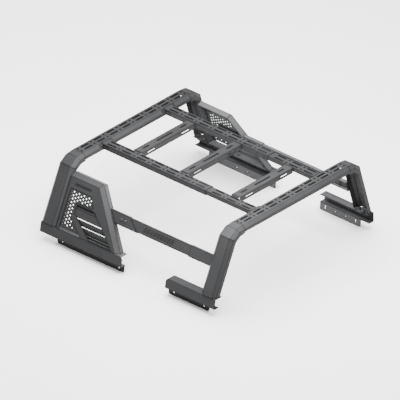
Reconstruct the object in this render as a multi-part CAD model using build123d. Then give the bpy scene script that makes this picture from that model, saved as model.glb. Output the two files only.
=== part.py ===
from build123d import *
import math
import os

os.makedirs("parts", exist_ok=True)

# Truck bed rack. Millimetres, +X towards the tailgate, +Y to the truck's right, +Z up.
# The origin is the centre of the rack's outline, level with the lower edges of the bed flanges.

# Driving dimensions
sheet = 3.0                  # folded sheet of the hoops, bars and wings
rail_sheet = 4.0             # folded sheet of the base rails
slide_gap = 0.4              # play between the telescoping sections, each side
front_hoop_x = -647.0        # middle of the front hoop
hoop_spacing = 1287.5        # middle of the front hoop to middle of the rear hoop

seat_z = 53.0                # underside of the rails, which rests on the truck's bed rails
rail_top_z = 124.0
top_z = 548.0                # top of the hoop beams and of the load bars

leg_foot_y = 791.5           # outer face of a leg where it stands on its rail
leg_head_y = 646.0           # outer face of a leg at its seam with the corner
leg_head_z = 498.0
corner_bend_y = 582.0
corner_bend_z = 541.5
beam_half = 524.0            # half length of a beam along its top

hoop_half_width = 59.0
hoop_half_face = 36.0        # half width of the flat outer face between the two chamfers
hoop_chamfer = 21.0
leg_depth = 52.0
beam_depth = 42.0

rail_end_x = 704.0
front_rail_inner_x = -48.0
rear_rail_inner_x = 306.0
rail_inner_y = 751.5         # face of the bed flange, against the inside of the truck bed
rail_outer_y = 793.0
rail_shoulder_y = 785.0
rail_lip_y = 721.5
front_flange_x = (-591.0, -52.0)
rear_flange_x = (306.5, 634.5)
flange_slot_inset = 42.0
flange_slot = (26.0, 9.0)    # length and width
flange_slot_z = 29.5
flange_hole_half_gap = 42.0
flange_hole_radius = 4.5

slot_length = 70.0
beam_slot_width = 9.0
beam_hole_radius = 5.5
bar_slot_width = 8.5
bar_hole_radius = 5.0
beam_slot_pitch = 127.0
beam_row_half_gap = 15.0
bar_slot_pitch = 119.0
bar_row_half_gap = 18.0

bar_y = 308.0                # middle of a load bar
bar_width = 75.0
bar_height = 38.0
sleeve_end_x = 236.0         # rear end of the front load bar section
slider_front_x = 42.5        # front end of the sliding section, inside the sleeve

cross_bar_x = (-378.0, -3.0, 412.0)
cross_bar_width = 67.0
cross_bar_half_length = 262.0

wing_depth = 8.5             # wing face behind the leg's outer face
wing_chamfer_depth = 21.0
wing_chamfer_run = 31.0
wing_back_depth = 69.0
wing_face_top = 349.0        # up the slope from the rail
wing_face_corner_x = 284.5   # behind the hoop's middle
wing_rake = 0.7227           # run of the rear edge for each unit of slope

side_bar_low = 177.5         # up the slope from the rail
side_bar_high = 254.5
side_bar_depth = 38.7
side_bar_back = 62.0
bracket_front_top_x = -99.0
bracket_front_low_x = -15.0
bracket_rear_x = 394.0
side_bar_front_x = -177.5
side_bar_rear_x = 510.0

bolt_radius = 5.0
bolt_head_radius = 9.0
bolt_head_height = 5.0
bolt_socket = 3.2

rear_hoop_x = front_hoop_x + hoop_spacing
lean = math.atan2(leg_foot_y - leg_head_y, leg_head_z - rail_top_z)


def save(name, *solids):
    """Write one node. Identical pieces share a node as separate solids."""
    shape = solids[0] if len(solids) == 1 else Compound(list(solids))
    export_step(shape, f"parts/{name}.step")


def solid_of(shape):
    """The largest solid of a result, as a plain solid."""
    return max(shape.solids(), key=lambda piece: piece.volume)


def mirrored(shape):
    return mirror(shape, about=Plane.XZ)


def save_pair(stem, *left_solids):
    """Write a left piece and its mirror image on the right."""
    save(f"{stem}_left", *left_solids)
    save(f"{stem}_right", *[mirrored(piece) for piece in left_solids])


def rounded_face(points, bends, radius):
    """A closed outline with some of its corners, named by number, rounded."""
    face = make_face(Polyline(*points, close=True))
    corners = []
    for number in bends:
        spot = Vector(*points[number])
        corners.append(min(face.vertices(), key=lambda v: (Vector(v.X, v.Y) - spot).length))
    return fillet(corners, radius)


def bolt(grip):
    """A button-head bolt. Its head sits on the XY plane and its shank runs down by its grip."""
    head = Pos(0, 0, bolt_head_height / 2) * Cylinder(bolt_head_radius, bolt_head_height)
    head = fillet(head.edges().sort_by(Axis.Z)[-1:], bolt_head_height * 0.55)
    socket = Pos(0, 0, bolt_head_height) * extrude(RegularPolygon(bolt_socket, 6), amount=-3.0)
    shank = Pos(0, 0, -grip / 2) * Cylinder(bolt_radius - 0.3, grip)
    return solid_of(head - socket + shank)


def bolts_at(places, grip):
    """Bolts on a list of planes, each with its normal pointing out of the head."""
    return [place.location * bolt(grip) for place in places]


def hole_at(place, radius, depth):
    """A cylinder that cuts a hole through whatever lies both sides of a plane."""
    return place.location * Cylinder(radius, depth)


# Hoops

def channel_face(depth):
    """Section of a hoop: a channel with chamfered edges. Local Y runs inwards."""
    w, f, c, t = hoop_half_width, hoop_half_face, hoop_chamfer, sheet
    run = w - f
    slant = math.hypot(run, c)
    outer = [(-w, depth), (-w, c), (-f, 0), (f, 0), (w, c), (w, depth)]
    face_in = f + t * (run - slant) / c
    chamfer_in = ((run - t) * c + t * slant) / run
    low = depth + 1
    inner = [(t - w, low), (t - w, chamfer_in), (-face_in, t), (face_in, t), (w - t, chamfer_in), (w - t, low)]
    bends = (1, 2, 3, 4)
    return rounded_face(outer, bends, 4.0) - rounded_face(inner, bends, 1.0)


def direction(start, end):
    return Vector(0, end[0] - start[0], end[1] - start[1]).normalized()


foot_point = (-leg_foot_y, rail_top_z)
head_point = (-leg_head_y, leg_head_z)
bend_point = (-corner_bend_y, corner_bend_z)
beam_point = (-beam_half, top_z)
beam_far_point = (beam_half, top_z)


def run_between(start, end, depth, spare=80.0):
    """A length of channel along one straight stretch of the hoop, longer than it at both ends."""
    along = direction(start, end)
    origin = Vector(0, *start) - along * spare
    length = (Vector(0, *end) - Vector(0, *start)).length + 2 * spare
    return extrude(Plane(origin, x_dir=(1, 0, 0), z_dir=along) * channel_face(depth), amount=length)


def seam(before, here, after):
    """The plane that halves the angle at one bend of the hoop."""
    normal = direction(before, here) + direction(here, after)
    return Plane(Vector(0, *here), x_dir=(1, 0, 0), z_dir=normal.normalized())


leg_seam = seam(foot_point, head_point, bend_point)
bend_seam = seam(head_point, bend_point, beam_point)
beam_seam = seam(bend_point, beam_point, beam_far_point)


def make_leg():
    leg = run_between(foot_point, head_point, leg_depth)
    leg = split(leg, bisect_by=Plane.XY.offset(rail_top_z), keep=Keep.TOP)
    return solid_of(split(leg, bisect_by=leg_seam, keep=Keep.BOTTOM))


def make_corner():
    lower = run_between(head_point, bend_point, leg_depth)
    lower = split(lower, bisect_by=leg_seam, keep=Keep.TOP)
    lower = split(lower, bisect_by=bend_seam, keep=Keep.BOTTOM)
    upper = run_between(bend_point, beam_point, leg_depth)
    upper = split(upper, bisect_by=bend_seam, keep=Keep.TOP)
    upper = split(upper, bisect_by=beam_seam, keep=Keep.BOTTOM)
    return solid_of(lower + upper)


def slot_row(slots, slot_pitch, width, holes, hole_radius):
    """Evenly pitched slots along X about the middle, with round holes halfway between them."""
    row = Sketch()
    for index in range(slots):
        row += Pos((index - (slots - 1) / 2) * slot_pitch, 0) * SlotOverall(slot_length, width)
    for index in range(holes):
        row += Pos((index - (holes - 1) / 2) * slot_pitch, 0) * Circle(hole_radius)
    return row


def make_beam():
    beam = run_between(beam_point, beam_far_point, beam_depth)
    beam_floor = Pos(0, 0, top_z - beam_depth + sheet / 2)
    beam += beam_floor * Box(2 * hoop_half_width, 2 * beam_half + 60, sheet)
    beam = split(beam, bisect_by=beam_seam, keep=Keep.TOP)
    beam = solid_of(mirrored(solid_of(beam)) & solid_of(beam))
    for side in (-1, 1):
        row = slot_row(8, beam_slot_pitch, beam_slot_width, 9, beam_hole_radius)
        cutter = Plane.XY.offset(top_z - 8) * Pos(side * beam_row_half_gap, 0) * Rot(0, 0, 90) * row
        beam -= extrude(cutter, amount=16)
    return solid_of(beam)


foot_plate_z = 6.0
foot_plate_y = 741.0
foot_bolt_x = 18.0


def foot_bolt_planes(hoop_x, z, side):
    return [Plane((hoop_x + offset, side * foot_plate_y, z)) for offset in (-foot_bolt_x, foot_bolt_x)]


def make_foot():
    """Plate welded across the bottom of a leg, with a rounded tongue for its two bolts."""
    strip = Pos(0, -foot_plate_y - 6) * Rectangle(2 * (hoop_half_width - sheet), 28)
    disc = Pos(0, -foot_plate_y - 6) * Circle(38)
    plate = extrude(Plane.XY.offset(rail_top_z) * (strip + disc), amount=foot_plate_z)
    for place in foot_bolt_planes(0, rail_top_z, -1):
        plate -= hole_at(place, bolt_radius + 0.5, 30)
    return solid_of(plate)


leg = make_leg()
corner = make_corner()
beam = make_beam()
foot = make_foot()
for name, hoop_x in (("front", front_hoop_x), ("rear", rear_hoop_x)):
    place = Pos(hoop_x, 0, 0)
    save_pair(f"{name}_leg", place * leg)
    save_pair(f"{name}_corner", place * corner)
    save_pair(f"{name}_foot", place * foot)
    save(f"{name}_beam", place * beam)
    foot_bolts = []
    for side in (-1, 1):
        foot_bolts += bolts_at(foot_bolt_planes(hoop_x, rail_top_z + foot_plate_z, side), 18)
    save(f"{name}_foot_bolts", *foot_bolts)


# Base rails

rail_end_radius = 24.0
flange_corner_radius = 12.0


def rail_section():
    """Folded section: bed flange, seat, leaning outer wall and top lip, seen along the rail."""
    t = rail_sheet
    wall = math.hypot(rail_outer_y - rail_shoulder_y, rail_top_z - seat_z)
    slant = t * wall / (rail_top_z - seat_z)
    rake = (rail_outer_y - rail_shoulder_y) / (rail_top_z - seat_z)
    points = [
        (-rail_inner_y, 0),
        (-rail_inner_y, seat_z),
        (-rail_outer_y, seat_z),
        (-rail_shoulder_y, rail_top_z),
        (-rail_lip_y, rail_top_z),
        (-rail_lip_y, rail_top_z - t),
        (-rail_shoulder_y + slant - rake * t, rail_top_z - t),
        (-rail_outer_y + slant + rake * t, seat_z + t),
        (-rail_inner_y + t, seat_z + t),
        (-rail_inner_y + t, 0),
    ]
    return rounded_face(points, (2, 3), 6.0)


def rail_outline(x_front, x_rear, flange_x, round_front):
    """Side view of a rail: the channel, rounded at its free end, over the bed flange."""
    upper = Pos((x_front + x_rear) / 2, (seat_z + rail_top_z) / 2)
    upper *= Rectangle(x_rear - x_front, rail_top_z - seat_z)
    free_end = upper.vertices().group_by(Axis.X)[0 if round_front else -1].sort_by(Axis.Y)[-1]
    upper = fillet(free_end, rail_end_radius)
    lower = Pos(sum(flange_x) / 2, seat_z / 2) * Rectangle(flange_x[1] - flange_x[0], seat_z)
    lower = fillet(lower.vertices().group_by(Axis.Y)[0], flange_corner_radius)
    return upper + lower


def make_rail(x_front, x_rear, flange_x, round_front):
    rail = extrude(Plane.YZ.offset(x_front) * rail_section(), amount=x_rear - x_front)
    side_view = Plane.XZ.offset(rail_inner_y - 60) * rail_outline(x_front, x_rear, flange_x, round_front)
    rail &= extrude(side_view, amount=160)
    flange_plane = Plane((0, -rail_inner_y, 0), x_dir=(1, 0, 0), z_dir=(0, -1, 0))
    middle = sum(flange_x) / 2
    cuts = Sketch()
    for end in (flange_x[0] + flange_slot_inset, flange_x[1] - flange_slot_inset):
        cuts += Pos(end, flange_slot_z) * Rot(0, 0, 90) * SlotOverall(*flange_slot)
    for offset in (-flange_hole_half_gap, flange_hole_half_gap):
        cuts += Pos(middle + offset, flange_slot_z) * Circle(flange_hole_radius)
    return rail - extrude(flange_plane * cuts, amount=10, both=True)


front_rail = make_rail(-rail_end_x, front_rail_inner_x, front_flange_x, round_front=False)
rear_rail = make_rail(rear_rail_inner_x, rail_end_x, rear_flange_x, round_front=True)

wing_foot_x = (271.0, 546.0)       # behind the hoop's middle
wing_foot_y = (709.0, 777.0)
wing_foot_clip = (24.0, 25.0)      # off the corner inside the wing's chamfer
wing_foot_bolt_x = (297.0, 511.0)
wing_foot_bolt_y = 738.0


def wing_bolt_planes(z, side):
    return [Plane((front_hoop_x + x, side * wing_foot_bolt_y, z)) for x in wing_foot_bolt_x]


for place in foot_bolt_planes(front_hoop_x, rail_top_z, -1) + wing_bolt_planes(rail_top_z, -1):
    front_rail -= hole_at(place, bolt_radius + 0.5, 30)
for place in foot_bolt_planes(rear_hoop_x, rail_top_z, -1):
    rear_rail -= hole_at(place, bolt_radius + 0.5, 30)
save_pair("front_rail", solid_of(front_rail))
save_pair("rear_rail", solid_of(rear_rail))


# Side wings. Their drawing plane is the left front leg's outer face: X along the truck, Y up the slope.

outward = Vector(0, -math.cos(lean), math.sin(lean))
slope_plane = Plane((front_hoop_x, -leg_foot_y, rail_top_z), x_dir=(1, 0, 0), z_dir=outward)


def at_depth(depth):
    return slope_plane.offset(-depth)


wing_low = -60.0                   # drawn below the rail, then cut level with it


def rear_edge_x(height, offset):
    """Rear edge of the wing, pushed out square to itself by an offset."""
    return wing_face_corner_x + wing_rake * (wing_face_top - height) + offset * math.hypot(1, wing_rake)


def wing_outline(offset, left):
    """Wing outline with its top and rear edges pushed out by an offset."""
    top = wing_face_top + offset
    points = [(left, wing_low), (left, top), (rear_edge_x(top, offset), top), (rear_edge_x(wing_low, offset), wing_low)]
    return make_face(Polyline(*points, close=True))


def wing_envelope(left, face_offset, face_depth, base_offset, base_depth, back_depth):
    """Solid under the wing's skin: flat face, chamfered border, then straight walls."""
    face = at_depth(face_depth) * wing_outline(face_offset, left)
    base = at_depth(base_depth) * wing_outline(base_offset, left)
    return loft([face, base], ruled=True) + extrude(base, amount=base_depth - back_depth)


mesh_window = [(83, 276), (249, 276), (290, 204), (163, 204), (143, 184), (143, 101), (258, 5), (83, 5)]
louvre_window = [(162, 192), (302, 192), (508, 5), (330, 5), (164, 138)]
window_radius = 7.0
wing_slot_centre = (172.0, 311.0)
wing_slot_size = (125.0, 8.5)


def make_wing_frame():
    run, drop, t = wing_chamfer_run, wing_chamfer_depth, sheet
    slant = math.hypot(run, drop)
    left = hoop_half_width
    outer = wing_envelope(left, 0, wing_depth, run, wing_depth + drop, wing_back_depth)
    inner_face_offset = t * (run - slant) / drop
    inner_base_depth = wing_depth + ((run - t) * drop + t * slant) / run
    back = wing_back_depth + 1
    inner = wing_envelope(left + t, inner_face_offset, wing_depth + t, run - t, inner_base_depth, back)
    frame = outer - inner
    windows = rounded_face(mesh_window, range(len(mesh_window)), window_radius)
    windows += rounded_face(louvre_window, range(len(louvre_window)), window_radius)
    windows += Pos(*wing_slot_centre) * SlotOverall(*wing_slot_size)
    frame -= extrude(at_depth(wing_depth + 1.5) * windows, amount=6, both=True)
    return solid_of(split(frame, bisect_by=Plane.XY.offset(rail_top_z), keep=Keep.TOP))


mesh_field = mesh_window[:-2] + [(220, 30), (83, 30)]
mesh_sheet = 3.0
mesh_pitch = 23.0
mesh_hole_radius = 5.4
mesh_origin = (94.3, 262.0)
mesh_lap = 9.0
mesh_edge = 2.9
mesh_top_size = (142.0, 54.0)      # plain top of the sheet, which backs the wing's slot


def make_wing_mesh():
    """Perforated sheet behind the curved window, its staggered holes kept inside the window."""
    field = make_face(Polyline(*mesh_field, close=True))
    lap = offset(field, mesh_lap, kind=Kind.INTERSECTION)
    lap += Pos(wing_slot_centre[0], wing_slot_centre[1] - 14) * Rectangle(*mesh_top_size)
    inside = offset(field, -mesh_edge - mesh_hole_radius)
    column_step = mesh_pitch * math.cos(math.radians(30))
    holes = Sketch()
    for column in range(-1, 9):
        shift = mesh_pitch / 2 if column % 2 == 0 else 0.0
        for row in range(-1, 12):
            spot = Vector(mesh_origin[0] + column * column_step, mesh_origin[1] - row * mesh_pitch + shift)
            if any(face.is_inside(spot) for face in inside.faces()):
                holes += Pos(spot.X, spot.Y) * Circle(mesh_hole_radius)
    behind_face = at_depth(wing_depth + sheet)
    return solid_of(extrude(behind_face * (lap - holes), amount=-mesh_sheet))


louvre_slats = [(112.0, 74.5), (72.8, 35.0), (33.3, 17.0)]     # upper and lower edge of each slat
louvre_lip = 4.0             # flat part of a slat, against the wing's face
louvre_reach = 13.0          # how far a slat leans in at its lower edge
hood_low = 118.0             # the top of the window has a deeper hood
hood_lip = 54.5
hood_rise = 24.0
hood_reach = 18.0
louvre_sheet = 2.0
louvre_lap = 7.0


def window_span(low, high):
    """Left and right ends of the louvre window between two heights."""
    crossings = []
    ends = louvre_window[1:] + louvre_window[:1]
    for (x0, y0), (x1, y1) in zip(louvre_window, ends):
        bottom, top = max(low, min(y0, y1)), min(high, max(y0, y1))
        if bottom < top and y0 != y1:
            crossings += [x0 + (x1 - x0) * (height - y0) / (y1 - y0) for height in (bottom, top)]
    return min(crossings), max(crossings)


def louvre_solid(points, low, high):
    """A folded slat from its section, drawn as depth and height, across the louvre window."""
    left, right = window_span(low, high)
    start = Plane(
        slope_plane.from_local_coords(Vector(left - louvre_lap, 0, 0)),
        x_dir=-outward,
        z_dir=(1, 0, 0),
    )
    outline = make_face(Polyline(*points, close=True))
    return solid_of(extrude(start * outline, amount=right - left + 2 * louvre_lap))


def make_hood():
    """Top slat: a deep flat lip behind the wing face and a blade that slopes up and back."""
    fold = hood_low + hood_lip
    high = fold + hood_rise
    front = wing_depth + sheet
    back = front + hood_reach
    t = louvre_sheet
    points = [
        (front + t, hood_low),
        (front + t, fold - t),
        (back + t, high - t),
        (back + t, high),
        (back, high),
        (front, fold),
        (front, hood_low),
    ]
    return louvre_solid(points, hood_low, fold)


def make_slat(high, low):
    """One slat: a narrow lip behind the wing face and a blade that leans in towards its lower edge."""
    front = wing_depth + sheet
    back = front + louvre_reach
    fold = high - louvre_lip
    t = louvre_sheet
    points = [
        (front + t, high),
        (front, high),
        (front, fold),
        (back, low),
        (back + t, low),
        (front + t, fold),
    ]
    return louvre_solid(points, low, high)


def make_wing_foot():
    """Strip along the inside of the wing's lower edge, bolted down to the rail."""
    x0, x1 = wing_foot_x
    y0, y1 = wing_foot_y
    clip_x, clip_y = wing_foot_clip
    points = [(x0, -y1), (x1 - clip_x, -y1), (x1, clip_y - y1), (x1, -y0), (x0, -y0)]
    outline = Pos(front_hoop_x, 0) * rounded_face(points, (3, 4), 10.0)
    strip = extrude(Plane.XY.offset(rail_top_z) * outline, amount=sheet)
    for place in wing_bolt_planes(rail_top_z, -1):
        strip -= hole_at(place, bolt_radius + 0.5, 30)
    return solid_of(strip)


save_pair("wing_frame", make_wing_frame())
save_pair("wing_mesh", make_wing_mesh())
save_pair("wing_louvres", make_hood(), *[make_slat(*edges) for edges in louvre_slats])
save_pair("wing_foot", make_wing_foot())
wing_bolts = []
for side in (-1, 1):
    wing_bolts += bolts_at(wing_bolt_planes(rail_top_z + sheet, side), 15)
save("wing_bolts", *wing_bolts)


# Side bars, low along both sides. The plain bar slides in the rear bracket.

def side_channel(outline, low, high, face_depth):
    """A shallow channel on the slope: a face with a flange along its lower and upper edges."""
    solid = extrude(at_depth(face_depth) * outline, amount=face_depth - side_bar_back)
    hollow_low = low + sheet
    hollow_high = high - sheet
    box = outline.bounding_box()
    hollow = Pos((box.min.X + box.max.X) / 2, (hollow_low + hollow_high) / 2)
    hollow *= Rectangle(box.size.X + 20, hollow_high - hollow_low)
    return solid - extrude(at_depth(face_depth + sheet) * hollow, amount=-40)


def local_x(x):
    return x - front_hoop_x


def make_side_bar():
    low = side_bar_low + sheet + slide_gap
    high = side_bar_high - sheet - slide_gap
    x0, x1 = local_x(side_bar_front_x), local_x(side_bar_rear_x)
    outline = Pos((x0 + x1) / 2, (low + high) / 2) * Rectangle(x1 - x0, high - low)
    bar = side_channel(outline, low, high, side_bar_depth + sheet + slide_gap)
    rib = make_face(Polyline((-13, -14), (-1, 14), (13, 14), (1, -14), close=True))
    ribs = Sketch()
    for index in range(rib_count):
        ribs += Pos(local_x(rib_start_x) + index * rib_pitch, (low + high) / 2) * rib
    stamped = at_depth(side_bar_depth + sheet + slide_gap - 1) * ribs
    return solid_of(bar - extrude(stamped, amount=-(1 + rib_depth)))


rib_depth = 1.4
rib_count = 9
rib_pitch = 27.0
rib_start_x = 35.0
side_bolt_x = (-155.0, -125.0)
clamp_screw_x = (420.0, 470.0)
side_middle = (side_bar_low + side_bar_high) / 2


def side_bolt_planes(depth):
    return [
        Plane(at_depth(depth).from_local_coords(Vector(local_x(x), side_middle, 0)), x_dir=(1, 0, 0), z_dir=outward)
        for x in side_bolt_x
    ]


def make_front_bracket():
    low, high = side_bar_low, side_bar_high
    points = [
        (rear_edge_x(low, wing_chamfer_run), low),
        (rear_edge_x(high, wing_chamfer_run), high),
        (local_x(bracket_front_top_x), high),
        (local_x(bracket_front_low_x), low),
    ]
    bracket = side_channel(make_face(Polyline(*points, close=True)), low, high, side_bar_depth)
    for place in side_bolt_planes(side_bar_depth):
        bracket -= hole_at(place, bolt_radius + 0.5, 30)
    return solid_of(bracket)


def make_rear_bracket():
    low, high = side_bar_low, side_bar_high
    x0 = local_x(bracket_rear_x)
    x1 = hoop_spacing - hoop_half_width
    outline = Pos((x0 + x1) / 2, side_middle) * Rectangle(x1 - x0, high - low)
    bracket = side_channel(outline, low, high, side_bar_depth)
    end = Pos(x1 - sheet / 2, side_middle) * Rectangle(sheet, high - low)
    bracket += extrude(at_depth(side_bar_depth) * end, amount=side_bar_depth - side_bar_back)
    for place in clamp_screw_planes():
        bracket -= hole_at(place, bolt_radius + 0.5, 12)
    return solid_of(bracket)


def clamp_screw_planes():
    """Clamp screws in the rear bracket's lower flange, heads underneath."""
    down = at_depth(0).y_dir * -1
    depth = (side_bar_depth + sheet + slide_gap + side_bar_back) / 2
    planes = []
    for x in clamp_screw_x:
        spot = at_depth(depth).from_local_coords(Vector(local_x(x), side_bar_low, 0))
        planes.append(Plane(spot, x_dir=(1, 0, 0), z_dir=down))
    return planes


def small_screw(grip):
    """A small socket screw, head on the XY plane, shank downwards."""
    head = Pos(0, 0, 2) * Cylinder(4.2, 4)
    socket = Pos(0, 0, 4) * extrude(RegularPolygon(2.0, 6), amount=-2.0)
    shank = Pos(0, 0, -grip / 2) * Cylinder(2.5, grip)
    return solid_of(head - socket + shank)


side_bar = make_side_bar()
for place in side_bolt_planes(side_bar_depth):
    side_bar -= hole_at(place, bolt_radius + 0.5, 30)
save_pair("side_bar", solid_of(side_bar))
save_pair("side_bar_front_bracket", make_front_bracket())
save_pair("side_bar_rear_bracket", make_rear_bracket())
side_bolts = bolts_at(side_bolt_planes(side_bar_depth), 12)
save("side_bar_bolts", *side_bolts, *[mirrored(piece) for piece in side_bolts])
side_clamps = [place.location * small_screw(sheet + slide_gap / 2) for place in clamp_screw_planes()]
save("side_bar_clamp_screws", *side_clamps, *[mirrored(piece) for piece in side_clamps])


# Load bars along the top. The rear section telescopes inside the front sleeve.

def hoop_envelope(hoop_x):
    """Solid outline of a beam's outside, used to trim the bars that meet it."""
    w, f, c = hoop_half_width, hoop_half_face, hoop_chamfer
    points = [(-w, 60), (-w, c), (-f, 0), (f, 0), (w, c), (w, 60)]
    outline = make_face(Polyline(*points, close=True))
    across = Plane((hoop_x, -600, top_z), x_dir=(1, 0, 0), z_dir=(0, 1, 0))
    return extrude(across * outline, amount=1200)


def folded_bar(x0, x1, width, z_high, z_low, closed):
    """A bar along X about Y = 0: a box section, or a channel open underneath."""
    half = width / 2
    t = sheet
    floor = z_low + t if closed else z_low - 1
    outer = [(-half, z_low), (-half, z_high), (half, z_high), (half, z_low)]
    inner = [(t - half, floor), (t - half, z_high - t), (half - t, z_high - t), (half - t, floor)]
    bends = (0, 1, 2, 3) if closed else (1, 2)
    section = rounded_face(outer, bends, 3.5) - rounded_face(inner, bends, 0.8)
    return extrude(Plane.YZ.offset(x0) * section, amount=x1 - x0)


bar_low_z = top_z - bar_height
sleeve_slots = 7
sleeve_slot_middle = -180.0
slider_slots = 3
slider_slot_middle = 428.0
slider_half = bar_width / 2 - sheet - slide_gap
slider_top_z = top_z - sheet - slide_gap


def bar_slots(middle, count, z):
    cuts = Sketch()
    for side in (-1, 1):
        row = slot_row(count, bar_slot_pitch, bar_slot_width, count - 1, bar_hole_radius)
        cuts += Pos(middle, side * bar_row_half_gap) * row
    return extrude(Plane.XY.offset(z - 8) * cuts, amount=16)


clamp_bolt_x = (150.0, 205.0)
clamp_bolt_z = top_z - bar_height / 2


def bar_clamp_planes():
    """Clamp screws through the inner wall of the left sleeve."""
    y = -bar_y + bar_width / 2
    return [Plane((x, y, clamp_bolt_z), x_dir=(1, 0, 0), z_dir=(0, 1, 0)) for x in clamp_bolt_x]


def make_sleeve():
    sleeve = folded_bar(front_hoop_x, sleeve_end_x, bar_width, top_z, bar_low_z, closed=True)
    sleeve -= bar_slots(sleeve_slot_middle, sleeve_slots, top_z)
    sleeve = Pos(0, -bar_y, 0) * sleeve - hoop_envelope(front_hoop_x)
    for place in bar_clamp_planes():
        sleeve -= hole_at(place, 2.8, 12)
    return solid_of(sleeve)


def make_slider():
    low = bar_low_z + sheet + slide_gap
    slider = folded_bar(slider_front_x, rear_hoop_x, 2 * slider_half, slider_top_z, low, closed=True)
    slider -= bar_slots(slider_slot_middle, slider_slots, slider_top_z)
    return solid_of(Pos(0, -bar_y, 0) * slider - hoop_envelope(rear_hoop_x))


cleat_pad = 26.0
cleat_tab = 34.0
cleat_run = 22.0


def make_cleats(hoop_x, facing, half_width):
    """Two folded cleats, one each side of a bar, from the beam's chamfer to the bar's side."""
    run = hoop_half_width - hoop_half_face
    slant = math.hypot(run, hoop_chamfer)
    middle = (hoop_half_width + hoop_half_face) / 2
    normal = Vector(facing * hoop_chamfer, 0, run).normalized()
    down_slope = Vector(facing * run, 0, -hoop_chamfer).normalized()
    cleats, planes = [], []
    for side in (-1, 1):
        pad_y = -bar_y + side * (half_width + cleat_pad / 2)
        centre = Vector(hoop_x + facing * middle, pad_y, top_z - hoop_chamfer / 2)
        pad_plane = Plane(centre, x_dir=down_slope, z_dir=normal)
        pad = extrude(pad_plane * RectangleRounded(cleat_run, cleat_pad, 3), amount=sheet)
        tab_y = -bar_y + side * (half_width + sheet / 2)
        tab_x = hoop_x + facing * (hoop_half_width + cleat_tab / 2)
        tab = Pos(tab_x, tab_y, top_z - bar_height / 2 + 1) * Box(cleat_tab, sheet, 26)
        link_x = hoop_x + facing * (middle + 8)
        link = Pos(link_x, tab_y, top_z - hoop_chamfer) * Box(28, sheet, 18)
        cleat = pad + (tab + link - hoop_envelope(hoop_x))
        hole = Plane(centre + normal * sheet, x_dir=down_slope, z_dir=normal)
        cleats.append(solid_of(cleat))
        planes.append(hole)
    assert slant > cleat_run
    return cleats, planes


def cleat_screws(planes):
    return [place.location * (Pos(0, 0, 2) * Cylinder(5.5, 4) - Pos(0, 0, 2.5) * extrude(RegularPolygon(2.5, 6), amount=2)) for place in planes]


save_pair("load_bar_sleeve", make_sleeve())
save_pair("load_bar_slider", make_slider())
for name, hoop_x, facing, half in (
    ("front", front_hoop_x, 1, bar_width / 2),
    ("rear", rear_hoop_x, -1, slider_half),
):
    cleats, planes = make_cleats(hoop_x, facing, half)
    save_pair(f"{name}_cleats", *cleats)
    screws = [solid_of(piece) for piece in cleat_screws(planes)]
    save(f"{name}_cleat_screws", *screws, *[mirrored(piece) for piece in screws])
bar_clamps = [place.location * small_screw(sheet + slide_gap / 2) for place in bar_clamp_planes()]
save("load_bar_clamp_screws", *bar_clamps, *[mirrored(piece) for piece in bar_clamps])


# Cross bars

cross_slot_short = (56.0, 9.0)
cross_slot_long = (150.0, 9.0)
cross_slot_y = 184.0
side_slit = (74.0, 8.0)
side_slit_y = 168.0
cross_bracket_plate = 5.0
cross_bracket_width = 54.0
cross_bracket_tongue = 46.0


def make_cross_bar(x):
    half = cross_bar_half_length
    bar = Rot(0, 0, 90) * folded_bar(-half, half, cross_bar_width, top_z, bar_low_z, closed=False)
    cuts = Rot(0, 0, 90) * SlotOverall(*cross_slot_long)
    for side in (-1, 1):
        cuts += Pos(0, side * cross_slot_y) * Rot(0, 0, 90) * SlotOverall(*cross_slot_short)
    bar -= extrude(Plane.XY.offset(top_z - 8) * cuts, amount=16)
    slits = Sketch()
    for side in (-1, 1):
        slits += Pos(side * side_slit_y, top_z - bar_height / 2) * SlotOverall(*side_slit)
    bar -= extrude(Plane.YZ.offset(-cross_bar_width) * slits, amount=2 * cross_bar_width)
    return solid_of(Pos(x, 0, 0) * bar)


def make_cross_bracket(x, wall_y):
    """Angle at the left end of a cross bar: a plate on the load bar's side and a tongue."""
    under = top_z - sheet
    plate_height = bar_height - sheet - 4
    plate = Pos(x, -wall_y + cross_bracket_plate / 2, under - plate_height / 2)
    plate *= Box(cross_bracket_width, cross_bracket_plate, plate_height)
    tongue_length = wall_y - cross_bar_half_length + cross_bracket_tongue
    tongue = Pos(x, -wall_y + tongue_length / 2, under - 2)
    tongue *= Box(cross_bracket_width, tongue_length, 4)
    return solid_of(plate + tongue)


def cross_screw_planes(x, wall_y):
    y = -wall_y + cross_bracket_plate
    z = top_z - bar_height / 2 - 3
    return [Plane((x + offset, y, z), x_dir=(1, 0, 0), z_dir=(0, 1, 0)) for offset in (-15, 15)]


def flat_screw():
    return solid_of(Pos(0, 0, 2) * Cylinder(5.5, 4) - Pos(0, 0, 2.5) * extrude(RegularPolygon(2.5, 6), amount=2))


sleeve_wall_y = bar_y - bar_width / 2
slider_wall_y = bar_y - slider_half
cross_screws = {"front": [], "rear": []}
for name, x, wall_y, body in (
    ("front", cross_bar_x[0], sleeve_wall_y, "front"),
    ("middle", cross_bar_x[1], sleeve_wall_y, "front"),
    ("rear", cross_bar_x[2], slider_wall_y, "rear"),
):
    save(f"{name}_cross_bar", make_cross_bar(x))
    bracket = make_cross_bracket(x, wall_y)
    save(f"{name}_cross_bar_brackets", bracket, mirrored(bracket))
    for place in cross_screw_planes(x, wall_y):
        screw = place.location * flat_screw()
        cross_screws[body] += [screw, mirrored(screw)]
save("front_cross_bar_screws", *cross_screws["front"])
save("rear_cross_bar_screws", *cross_screws["rear"])
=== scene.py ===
import math

import bmesh
import bpy
from mathutils import Matrix, Vector


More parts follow.
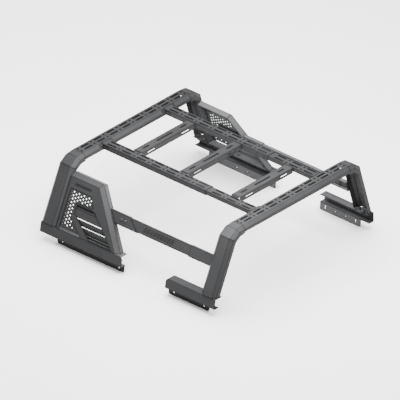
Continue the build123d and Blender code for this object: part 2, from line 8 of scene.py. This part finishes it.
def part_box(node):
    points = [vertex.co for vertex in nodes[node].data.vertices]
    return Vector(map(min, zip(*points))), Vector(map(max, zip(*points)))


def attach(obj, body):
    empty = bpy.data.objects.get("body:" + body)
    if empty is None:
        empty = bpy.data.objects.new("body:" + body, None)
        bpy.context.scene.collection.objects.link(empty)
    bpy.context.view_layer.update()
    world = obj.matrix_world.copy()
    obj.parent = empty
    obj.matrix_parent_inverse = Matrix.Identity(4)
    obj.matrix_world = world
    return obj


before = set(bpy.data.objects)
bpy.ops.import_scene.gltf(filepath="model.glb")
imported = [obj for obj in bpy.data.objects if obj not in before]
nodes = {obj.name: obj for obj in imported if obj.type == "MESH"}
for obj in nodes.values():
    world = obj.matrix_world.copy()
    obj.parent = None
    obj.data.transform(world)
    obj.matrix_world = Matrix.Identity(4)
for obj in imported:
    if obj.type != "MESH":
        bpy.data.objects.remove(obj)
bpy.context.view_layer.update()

# Metres, in the frame of the CAD model: +X towards the tailgate, +Y to the truck's right, +Z up.

SIDES = ((-1, "left"), (1, "right"))
HOOPS = (("front", "front_frame"), ("rear", "rear_frame"))

# ---------------------------------------------------------------- materials

COAT_DARK = (0.0098, 0.0100, 0.0106, 1.0)
COAT_LIGHT = (0.0128, 0.0130, 0.0136, 1.0)
# Painted shade along folds and cut edges of the coat, and also the darker tone of the welds.
PAINTED_EDGE_SHADE_AND_WELD_COLOUR = (0.0015, 0.0015, 0.0016, 1.0)
STEEL_DARK = (0.010, 0.010, 0.011, 1.0)
STEEL_WORN = (0.050, 0.047, 0.043, 1.0)
FLOOR_DARK = (0.90, 0.90, 0.90, 1.0)
FLOOR_LIGHT = (0.92, 0.92, 0.92, 1.0)

COAT_GLOSS = 0.10
COAT_ROUGHNESS = (0.50, 0.62)
STEEL_ROUGHNESS = (0.35, 0.55)
STEEL_METALLIC = 0.8
WELD_ROUGHNESS = (0.55, 0.75)
FLOOR_ROUGHNESS = 0.9

# Noise patterns: cells per metre, detail, roughness
COAT_CLOUD = (5.0, 3.0, 0.5)
COAT_SMUDGE = (24.0, 4.0, 0.5)
COAT_PEEL = (260.0, 3.0, 0.6)
COAT_SPECKLE = (900.0, 2.0, 0.5)
STEEL_WEAR = (160.0, 4.0, 0.5)
STEEL_SMUDGE = (300.0, 2.0, 0.5)
STEEL_TURNED = (700.0, 3.0, 0.5)
WELD_RIPPLE = (420.0, 2.0, 0.5)
WELD_SMUDGE = (90.0, 2.0, 0.5)
FLOOR_CLOUD = (1.5, 3.0, 0.5)

# Bands of a noise's values that a colour or a roughness runs over
MIDDLE_BAND = (0.3, 0.7)
FLECK_BAND = (0.56, 0.74)
WEAR_BAND = (0.45, 0.75)
FULL_SHARE = (0.0, 1.0)
FLECK_SHARE = (0.0, 0.55)
WEAR_SHARE = (0.0, 0.6)
FLECK_GAIN = 1.6

# Surface relief: strength, depth in metres
PEEL_RELIEF = (0.35, 0.0006)
SPECKLE_RELIEF = (0.25, 0.0002)
TURNED_RELIEF = (0.2, 0.0003)
RIPPLE_RELIEF = (0.5, 0.0008)

# Painted shade: a dark line along folds and cut edges, put into the colour. The cosines are between the
# sheet's normal and the rounded one.
EDGE_RADIUS = 0.009
EDGE_SAMPLES = 8
EDGE_COSINES = (0.975, 0.9995)


def new_material(name):
    material = bpy.data.materials.new(name)
    material.use_nodes = True
    tree = material.node_tree
    return material, tree, tree.nodes["Principled BSDF"]


def object_coordinates(tree):
    return tree.nodes.new("ShaderNodeTexCoord").outputs["Object"]


def noise(tree, coords, scale, detail, roughness):
    node = tree.nodes.new("ShaderNodeTexNoise")
    node.inputs["Scale"].default_value = scale
    node.inputs["Detail"].default_value = detail
    node.inputs["Roughness"].default_value = roughness
    tree.links.new(coords, node.inputs["Vector"])
    return node.outputs["Fac"]


def spread(tree, source, band, values):
    """Map a band of inputs to a pair of values, held at both ends."""
    node = tree.nodes.new("ShaderNodeMapRange")
    node.inputs["From Min"].default_value, node.inputs["From Max"].default_value = band
    node.inputs["To Min"].default_value, node.inputs["To Max"].default_value = values
    tree.links.new(source, node.inputs["Value"])
    return node.outputs["Result"]


def mix_colours(tree, factor, first, second):
    """Mix two colours, each a constant or an output of another node."""
    node = tree.nodes.new("ShaderNodeMix")
    node.data_type = "RGBA"
    tree.links.new(factor, node.inputs["Factor"])
    colour_sockets = [socket for socket in node.inputs if socket.type == "RGBA"]
    for socket, value in zip(colour_sockets, (first, second)):
        if isinstance(value, tuple):
            socket.default_value = value
        else:
            tree.links.new(value, socket)
    return next(socket for socket in node.outputs if socket.type == "RGBA")


def bump(tree, height, strength, distance, under=None):
    node = tree.nodes.new("ShaderNodeBump")
    node.inputs["Strength"].default_value = strength
    node.inputs["Distance"].default_value = distance
    tree.links.new(height, node.inputs["Height"])
    if under is not None:
        tree.links.new(under, node.inputs["Normal"])
    return node.outputs["Normal"]


def painted_edge_shade_mask(tree):
    """Where the painted edge shade goes: 1 on and beside folds and cut edges, 0 on flat sheet."""
    rounded = tree.nodes.new("ShaderNodeBevel")
    rounded.samples = EDGE_SAMPLES
    rounded.inputs["Radius"].default_value = EDGE_RADIUS
    geometry = tree.nodes.new("ShaderNodeNewGeometry")
    dot = tree.nodes.new("ShaderNodeVectorMath")
    dot.operation = "DOT_PRODUCT"
    tree.links.new(rounded.outputs["Normal"], dot.inputs[0])
    tree.links.new(geometry.outputs["Normal"], dot.inputs[1])
    return spread(tree, dot.outputs["Value"], EDGE_COSINES, (1.0, 0.0))


def powder_coat(name):
    """Textured powder coat: orange peel, fine flecks, faint clouding, and painted shade as dark lines along
    folds and edges.
    """
    material, tree, shader = new_material(name)
    coords = object_coordinates(tree)
    cloud = noise(tree, coords, *COAT_CLOUD)
    speckle = noise(tree, coords, *COAT_SPECKLE)
    peel = noise(tree, coords, *COAT_PEEL)
    smudge = noise(tree, coords, *COAT_SMUDGE)
    fleck = tuple(channel * FLECK_GAIN for channel in COAT_LIGHT[:3]) + (1.0,)
    base = mix_colours(tree, spread(tree, cloud, MIDDLE_BAND, FULL_SHARE), COAT_DARK, COAT_LIGHT)
    flecked = mix_colours(tree, spread(tree, speckle, FLECK_BAND, FLECK_SHARE), base, fleck)
    # Painted shade: the coat's colour goes dark along folds and cut edges, where the rounded normal turns
    # away from the sheet's.
    edge_shaded = mix_colours(tree, painted_edge_shade_mask(tree), flecked, PAINTED_EDGE_SHADE_AND_WELD_COLOUR)
    coarse = bump(tree, peel, *PEEL_RELIEF)
    tree.links.new(edge_shaded, shader.inputs["Base Color"])
    tree.links.new(spread(tree, smudge, MIDDLE_BAND, COAT_ROUGHNESS), shader.inputs["Roughness"])
    tree.links.new(bump(tree, speckle, *SPECKLE_RELIEF, under=coarse), shader.inputs["Normal"])
    shader.inputs["Metallic"].default_value = 0.0
    shader.inputs["Specular IOR Level"].default_value = COAT_GLOSS
    return material


def black_steel(name):
    """Black oxide screws: dark metal with fine turned marks and slightly worn high spots."""
    material, tree, shader = new_material(name)
    coords = object_coordinates(tree)
    wear = spread(tree, noise(tree, coords, *STEEL_WEAR), WEAR_BAND, WEAR_SHARE)
    smudge = noise(tree, coords, *STEEL_SMUDGE)
    turned = noise(tree, coords, *STEEL_TURNED)
    tree.links.new(mix_colours(tree, wear, STEEL_DARK, STEEL_WORN), shader.inputs["Base Color"])
    tree.links.new(spread(tree, smudge, MIDDLE_BAND, STEEL_ROUGHNESS), shader.inputs["Roughness"])
    tree.links.new(bump(tree, turned, *TURNED_RELIEF), shader.inputs["Normal"])
    shader.inputs["Metallic"].default_value = STEEL_METALLIC
    return material


def weld_metal(name):
    """Coated weld: rippled, and darker than the sheet beside it."""
    material, tree, shader = new_material(name)
    coords = object_coordinates(tree)
    ripple = noise(tree, coords, *WELD_RIPPLE)
    smudge = noise(tree, coords, *WELD_SMUDGE)
    tree.links.new(mix_colours(tree, ripple, PAINTED_EDGE_SHADE_AND_WELD_COLOUR, STEEL_DARK), shader.inputs["Base Color"])
    tree.links.new(spread(tree, smudge, MIDDLE_BAND, WELD_ROUGHNESS), shader.inputs["Roughness"])
    tree.links.new(bump(tree, ripple, *RIPPLE_RELIEF), shader.inputs["Normal"])
    shader.inputs["Specular IOR Level"].default_value = COAT_GLOSS
    return material


COAT = powder_coat("charcoal_powder_coat")
SCREW = black_steel("black_oxide_steel")
WELD = weld_metal("coated_weld")

PAINTED_BOLTS = ("side_bar_bolts",)
for name, node in nodes.items():
    is_fastener = name.endswith(("_bolts", "_screws")) and name not in PAINTED_BOLTS
    node.data.materials.clear()
    node.data.materials.append(SCREW if is_fastener else COAT)


def mesh_object(name, vertices, faces, material, body, smooth=True):
    """A new piece that rides on a body and takes its finish from a slot."""
    mesh = bpy.data.meshes.new(name)
    bm = bmesh.new()
    made = [bm.verts.new(vertex) for vertex in vertices]
    for face in faces:
        bm.faces.new([made[index] for index in face])
    bmesh.ops.recalc_face_normals(bm, faces=bm.faces)
    for face in bm.faces:
        face.smooth = smooth
    bm.to_mesh(mesh)
    bm.free()
    piece = bpy.data.objects.new(name, mesh)
    piece.data.materials.append(material)
    bpy.context.scene.collection.objects.link(piece)
    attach(piece, body)


# ---------------------------------------------------------------- welds along the hoops

HALF_WIDTH = 0.059
HALF_FACE = 0.036
CHAMFER = 0.021
SECTION_DEPTH = 0.052
FOLD_RADIUS = 0.004
WELD_HALF_WIDTH = 0.0024
WELD_HEIGHT = 0.0005
FOLD_PARTS = (0.0, 0.25, 0.5, 0.75, 1.0)

# Outer line of a hoop in Y and Z, from the foot over three bends to the far end of the beam
HOOP_POINTS = ((0.7915, 0.124), (0.646, 0.498), (0.582, 0.5415), (0.524, 0.548), (-0.524, 0.548))

# Place of each bend in that line, and the part that its weld is named after
SEAMS = ((1, "leg"), (2, "corner"), (3, "beam"))

# Across a bead: the hoop length it lies on, its share of the half width, its share of the height
BEAD_STEPS = ((0, -1.0, 0.0), (0, -0.55, 0.75), (None, 0.0, 1.0), (1, 0.55, 0.75), (1, 1.0, 0.0))


def section_points():
    """Outer line of the hoop's section as (x, depth, normal across, normal out), folds rounded."""
    corners = [
        Vector((-HALF_WIDTH, SECTION_DEPTH)),
        Vector((-HALF_WIDTH, CHAMFER)),
        Vector((-HALF_FACE, 0.0)),
        Vector((HALF_FACE, 0.0)),
        Vector((HALF_WIDTH, CHAMFER)),
        Vector((HALF_WIDTH, SECTION_DEPTH)),
    ]
    spots = [corners[0]]
    for before, corner, after in zip(corners, corners[1:], corners[2:]):
        into = (before - corner).normalized()
        onward = (after - corner).normalized()
        reach = FOLD_RADIUS * math.tan((math.pi - into.angle(onward)) / 2)
        start, end = corner + into * reach, corner + onward * reach
        for part in FOLD_PARTS:
            spots.append((1 - part) ** 2 * start + 2 * part * (1 - part) * corner + part ** 2 * end)
    spots.append(corners[-1])
    outline = []
    for index, spot in enumerate(spots):
        before, after = spots[max(index - 1, 0)], spots[min(index + 1, len(spots) - 1)]
        along = (after - before).normalized()
        outline.append((spot.x, spot.y, -along.y, along.x))
    return outline


def hoop_point(index, side):
    y, z = HOOP_POINTS[index]
    return Vector((0.0, side * y, z))


def outward_normal(run):
    """Normal of a hoop's outer face, square to its run in the YZ plane and upwards."""
    out = Vector((0.0, -run.z, run.y))
    return out if out.z > 0 else -out


def make_seam_weld(name, hoop_x, bend, side, body):
    """A low rounded bead across the outside of a hoop where two lengths meet."""
    before, here, after = (hoop_point(bend + step, side) for step in (-1, 0, 1))
    runs = ((here - before).normalized(), (after - here).normalized())
    outs = [outward_normal(run) for run in runs]
    middle = (outs[0] + outs[1]).normalized()
    stretch = 1.0 / middle.dot(outs[0])
    outline = section_points()
    vertices, faces = [], []
    for x, depth, across, out in outline:
        base = here - middle * (depth * stretch) + Vector((hoop_x + x, 0.0, 0.0))
        for which, step, height in BEAD_STEPS:
            face_out = middle if which is None else outs[which]
            run = Vector() if which is None else runs[which]
            normal = Vector((across, 0.0, 0.0)) + face_out * out
            vertices.append(base + run * (step * WELD_HALF_WIDTH) + normal * (height * WELD_HEIGHT))
    count = len(BEAD_STEPS)
    for row in range(len(outline) - 1):
        for column in range(count - 1):
            first = row * count + column
            faces.append((first, first + 1, first + count + 1, first + count))
    mesh_object(name, vertices, faces, WELD, body)


for end, body in HOOPS:
    low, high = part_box(f"{end}_beam")
    for side, side_name in SIDES:
        for bend, place in SEAMS:
            make_seam_weld(f"{end}_{place}_weld_{side_name}", (low[0] + high[0]) / 2, bend, side, body)


# ---------------------------------------------------------------- washers around the foot and wing bolts

WASHER_OUTER = 0.0125
WASHER_INNER = 0.0080
WASHER_HEIGHT = 0.0014
WASHER_RIM = 0.0005
WASHER_SIDES = 40
FOOT_BOLT_OFFSETS = (-0.018, 0.018)
FOOT_BOLT_Y = 0.741
WING_BOLT_X = (-0.350, -0.136)
WING_BOLT_Y = 0.738


def make_washer(name, centre, body):
    """A flat washer with a softened rim, lying on a plate around a bolt's head."""
    rings = (
        (WASHER_INNER, 0.0),
        (WASHER_INNER, WASHER_HEIGHT),
        (WASHER_OUTER - WASHER_RIM, WASHER_HEIGHT),
        (WASHER_OUTER, WASHER_HEIGHT - WASHER_RIM),
        (WASHER_OUTER, 0.0),
    )
    vertices, faces = [], []
    for radius, height in rings:
        for step in range(WASHER_SIDES):
            angle = 2 * math.pi * step / WASHER_SIDES
            vertices.append(centre + Vector((radius * math.cos(angle), radius * math.sin(angle), height)))
    for ring in range(len(rings)):
        here = ring * WASHER_SIDES
        onward = ((ring + 1) % len(rings)) * WASHER_SIDES
        for step in range(WASHER_SIDES):
            beside = (step + 1) % WASHER_SIDES
            faces.append((here + step, here + beside, onward + beside, onward + step))
    mesh_object(name, vertices, faces, SCREW, body)


for side, side_name in SIDES:
    for end, body in HOOPS:
        low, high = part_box(f"{end}_foot_{side_name}")
        for number, offset in enumerate(FOOT_BOLT_OFFSETS, 1):
            spot = Vector(((low[0] + high[0]) / 2 + offset, side * FOOT_BOLT_Y, high[2]))
            make_washer(f"{end}_foot_washer_{side_name}_{number}", spot, body)
    wing_foot_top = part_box(f"wing_foot_{side_name}")[1][2]
    for number, x in enumerate(WING_BOLT_X, 1):
        spot = Vector((x, side * WING_BOLT_Y, wing_foot_top))
        make_washer(f"wing_washer_{side_name}_{number}", spot, "front_frame")


# ---------------------------------------------------------------- plates that close the louvre hoods

# Extent in X, and depth of the edge that meets the perforated sheet or the wing's face
HOOD_PLATES = (((-0.492, -0.338), 0.0149), ((-0.338, -0.275), 0.0116))
HOOD_EDGE_DEPTH = 0.0300
HOOD_EDGE_HEIGHT = 0.1955
FACE_EDGE_HEIGHT = 0.1990
HOOD_PLATE_SHEET = 0.0015

(FOOT_Y, FOOT_Z), (HEAD_Y, HEAD_Z) = HOOP_POINTS[:2]
LEAN = math.atan2(FOOT_Y - HEAD_Y, HEAD_Z - FOOT_Z)


def wing_spot(x, depth, height, side):
    """A point by its depth behind the leg's outer face and its height up the slope from the rail."""
    y = FOOT_Y - math.sin(LEAN) * height - math.cos(LEAN) * depth
    z = FOOT_Z + math.cos(LEAN) * height - math.sin(LEAN) * depth
    return Vector((x, side * y, z))


def make_hood_plate(name, span, outer, side):
    """A thin plate from the hood's upper edge to the sheet in front of it."""
    section = (
        (HOOD_EDGE_DEPTH, HOOD_EDGE_HEIGHT),
        (HOOD_EDGE_DEPTH, HOOD_EDGE_HEIGHT + HOOD_PLATE_SHEET),
        (outer, FACE_EDGE_HEIGHT + HOOD_PLATE_SHEET),
        (outer, FACE_EDGE_HEIGHT),
    )
    vertices = [wing_spot(x, depth, height, side) for x in span for depth, height in section]
    walls = [(a, (a + 1) % 4, (a + 1) % 4 + 4, a + 4) for a in range(4)]
    faces = [(0, 1, 2, 3), (4, 5, 6, 7)] + walls
    mesh_object(name, vertices, faces, COAT, "front_frame", smooth=False)


for side, side_name in SIDES:
    for number, (span, outer) in enumerate(HOOD_PLATES, 1):
        make_hood_plate(f"hood_plate_{side_name}_{number}", span, outer, side)


# ---------------------------------------------------------------- stage

STAGE_SIZE = 14.0


def floor_material():
    material, tree, shader = new_material("pale_floor")
    pattern = noise(tree, object_coordinates(tree), *FLOOR_CLOUD)
    cloud = spread(tree, pattern, MIDDLE_BAND, FULL_SHARE)
    tree.links.new(mix_colours(tree, cloud, FLOOR_DARK, FLOOR_LIGHT), shader.inputs["Base Color"])
    shader.inputs["Roughness"].default_value = FLOOR_ROUGHNESS
    return material


def make_floor():
    mesh = bpy.data.meshes.new("floor")
    bm = bmesh.new()
    for x, y in ((-1, -1), (1, -1), (1, 1), (-1, 1)):
        bm.verts.new((x * STAGE_SIZE, y * STAGE_SIZE, 0.0))
    bm.faces.new(bm.verts)
    bm.to_mesh(mesh)
    bm.free()
    floor = bpy.data.objects.new("floor", mesh)
    floor.data.materials.append(floor_material())
    bpy.context.scene.collection.objects.link(floor)
    return floor


floor = make_floor()

# ---------------------------------------------------------------- camera

VIEW_DIRECTION = (-0.5271, 0.6924, -0.4927)
VIEW_UP = (-0.3510, 0.3506, 0.8683)
AIM = Vector((-0.2852, 0.2873, 0.0115))
CAMERA_DISTANCE = 10.0
VIEW_SIZE = 2.5
CLIP_END = 60.0

forward = Vector(VIEW_DIRECTION).normalized()
right = forward.cross(Vector(VIEW_UP)).normalized()
up = right.cross(forward).normalized()

camera_data = bpy.data.cameras.new("camera")
camera_data.type = "ORTHO"
camera_data.ortho_scale = VIEW_SIZE
camera_data.clip_end = CLIP_END
camera = bpy.data.objects.new("camera", camera_data)
turn = Matrix((right, up, -forward)).transposed().to_4x4()
camera.matrix_world = Matrix.Translation(AIM - forward * CAMERA_DISTANCE) @ turn
bpy.context.scene.collection.objects.link(camera)
bpy.context.scene.camera = camera

# ---------------------------------------------------------------- light

WORLD_STRENGTH = 1.6
OVERHEAD_PLACE = (0.5, -0.5, 2.0)
OVERHEAD_SIZE = 2.4
OVERHEAD_POWER = 560.0
WASH_HEIGHT = 5.0
WASH_SIZE = 6.0
WASH_POWER = 1300.0
INNER_LIGHT_Y, INNER_LIGHT_Z = -0.9, 1.9
INNER_TARGET_Y, INNER_TARGET_Z = 0.75, 0.1
INNER_SIZE = 1.2
INNER_POWER = {"left": 650.0, "right": 1100.0}
INNER_STEMS = ("rail", "foot", "leg", "wing", "side_bar")
UNFILLED = "rear_rail_left"

world = bpy.data.worlds.new("world")
bpy.context.scene.world = world
world.use_nodes = True
background = world.node_tree.nodes["Background"]
background.inputs["Color"].default_value = (1.0, 1.0, 1.0, 1.0)
background.inputs["Strength"].default_value = WORLD_STRENGTH


def linked_only(name, things, state):
    """A collection that tells a light which objects it lights, or which it leaves out."""
    linked = bpy.data.collections.new(name)
    for thing in things:
        linked.objects.link(thing)
    for entry in linked.collection_objects:
        entry.light_linking.link_state = state
    return linked


def area_light(name, place, target, size, power, receivers):
    data = bpy.data.lights.new(name, "AREA")
    data.size = size
    data.energy = power
    light = bpy.data.objects.new(name, data)
    light.location = place
    light.rotation_mode = "QUATERNION"
    light.rotation_quaternion = (Vector(target) - Vector(place)).to_track_quat("-Z", "Y")
    light.visible_camera = False
    light.light_linking.receiver_collection = receivers
    bpy.context.scene.collection.objects.link(light)


def inner_nodes(side_name):
    """The nodes under the leaning legs and wings of one side, with the bolts that both sides share."""
    other = "right" if side_name == "left" else "left"
    named = [name for name in nodes if any(stem in name for stem in INNER_STEMS)]
    return [nodes[name] for name in named if other not in name and name != UNFILLED]


# The overhead box lights the rack and not the floor. The wash lights the floor alone. Each inner fill lights
# one side's rails, feet, legs, wing and side bar and the shared bolts, but not the left rear rail.
origin = (0.0, 0.0, 0.0)
not_the_floor = linked_only("not_the_floor", [floor], "EXCLUDE")
floor_alone = linked_only("floor_alone", [floor], "INCLUDE")
area_light("overhead_box", OVERHEAD_PLACE, origin, OVERHEAD_SIZE, OVERHEAD_POWER, not_the_floor)
area_light("floor_wash", (0.0, 0.0, WASH_HEIGHT), origin, WASH_SIZE, WASH_POWER, floor_alone)
for side, side_name in SIDES:
    place = (0.0, side * INNER_LIGHT_Y, INNER_LIGHT_Z)
    target = (0.0, side * INNER_TARGET_Y, INNER_TARGET_Z)
    receivers = linked_only(f"inside_{side_name}", inner_nodes(side_name), "INCLUDE")
    area_light(f"inner_fill_{side_name}", place, target, INNER_SIZE, INNER_POWER[side_name], receivers)
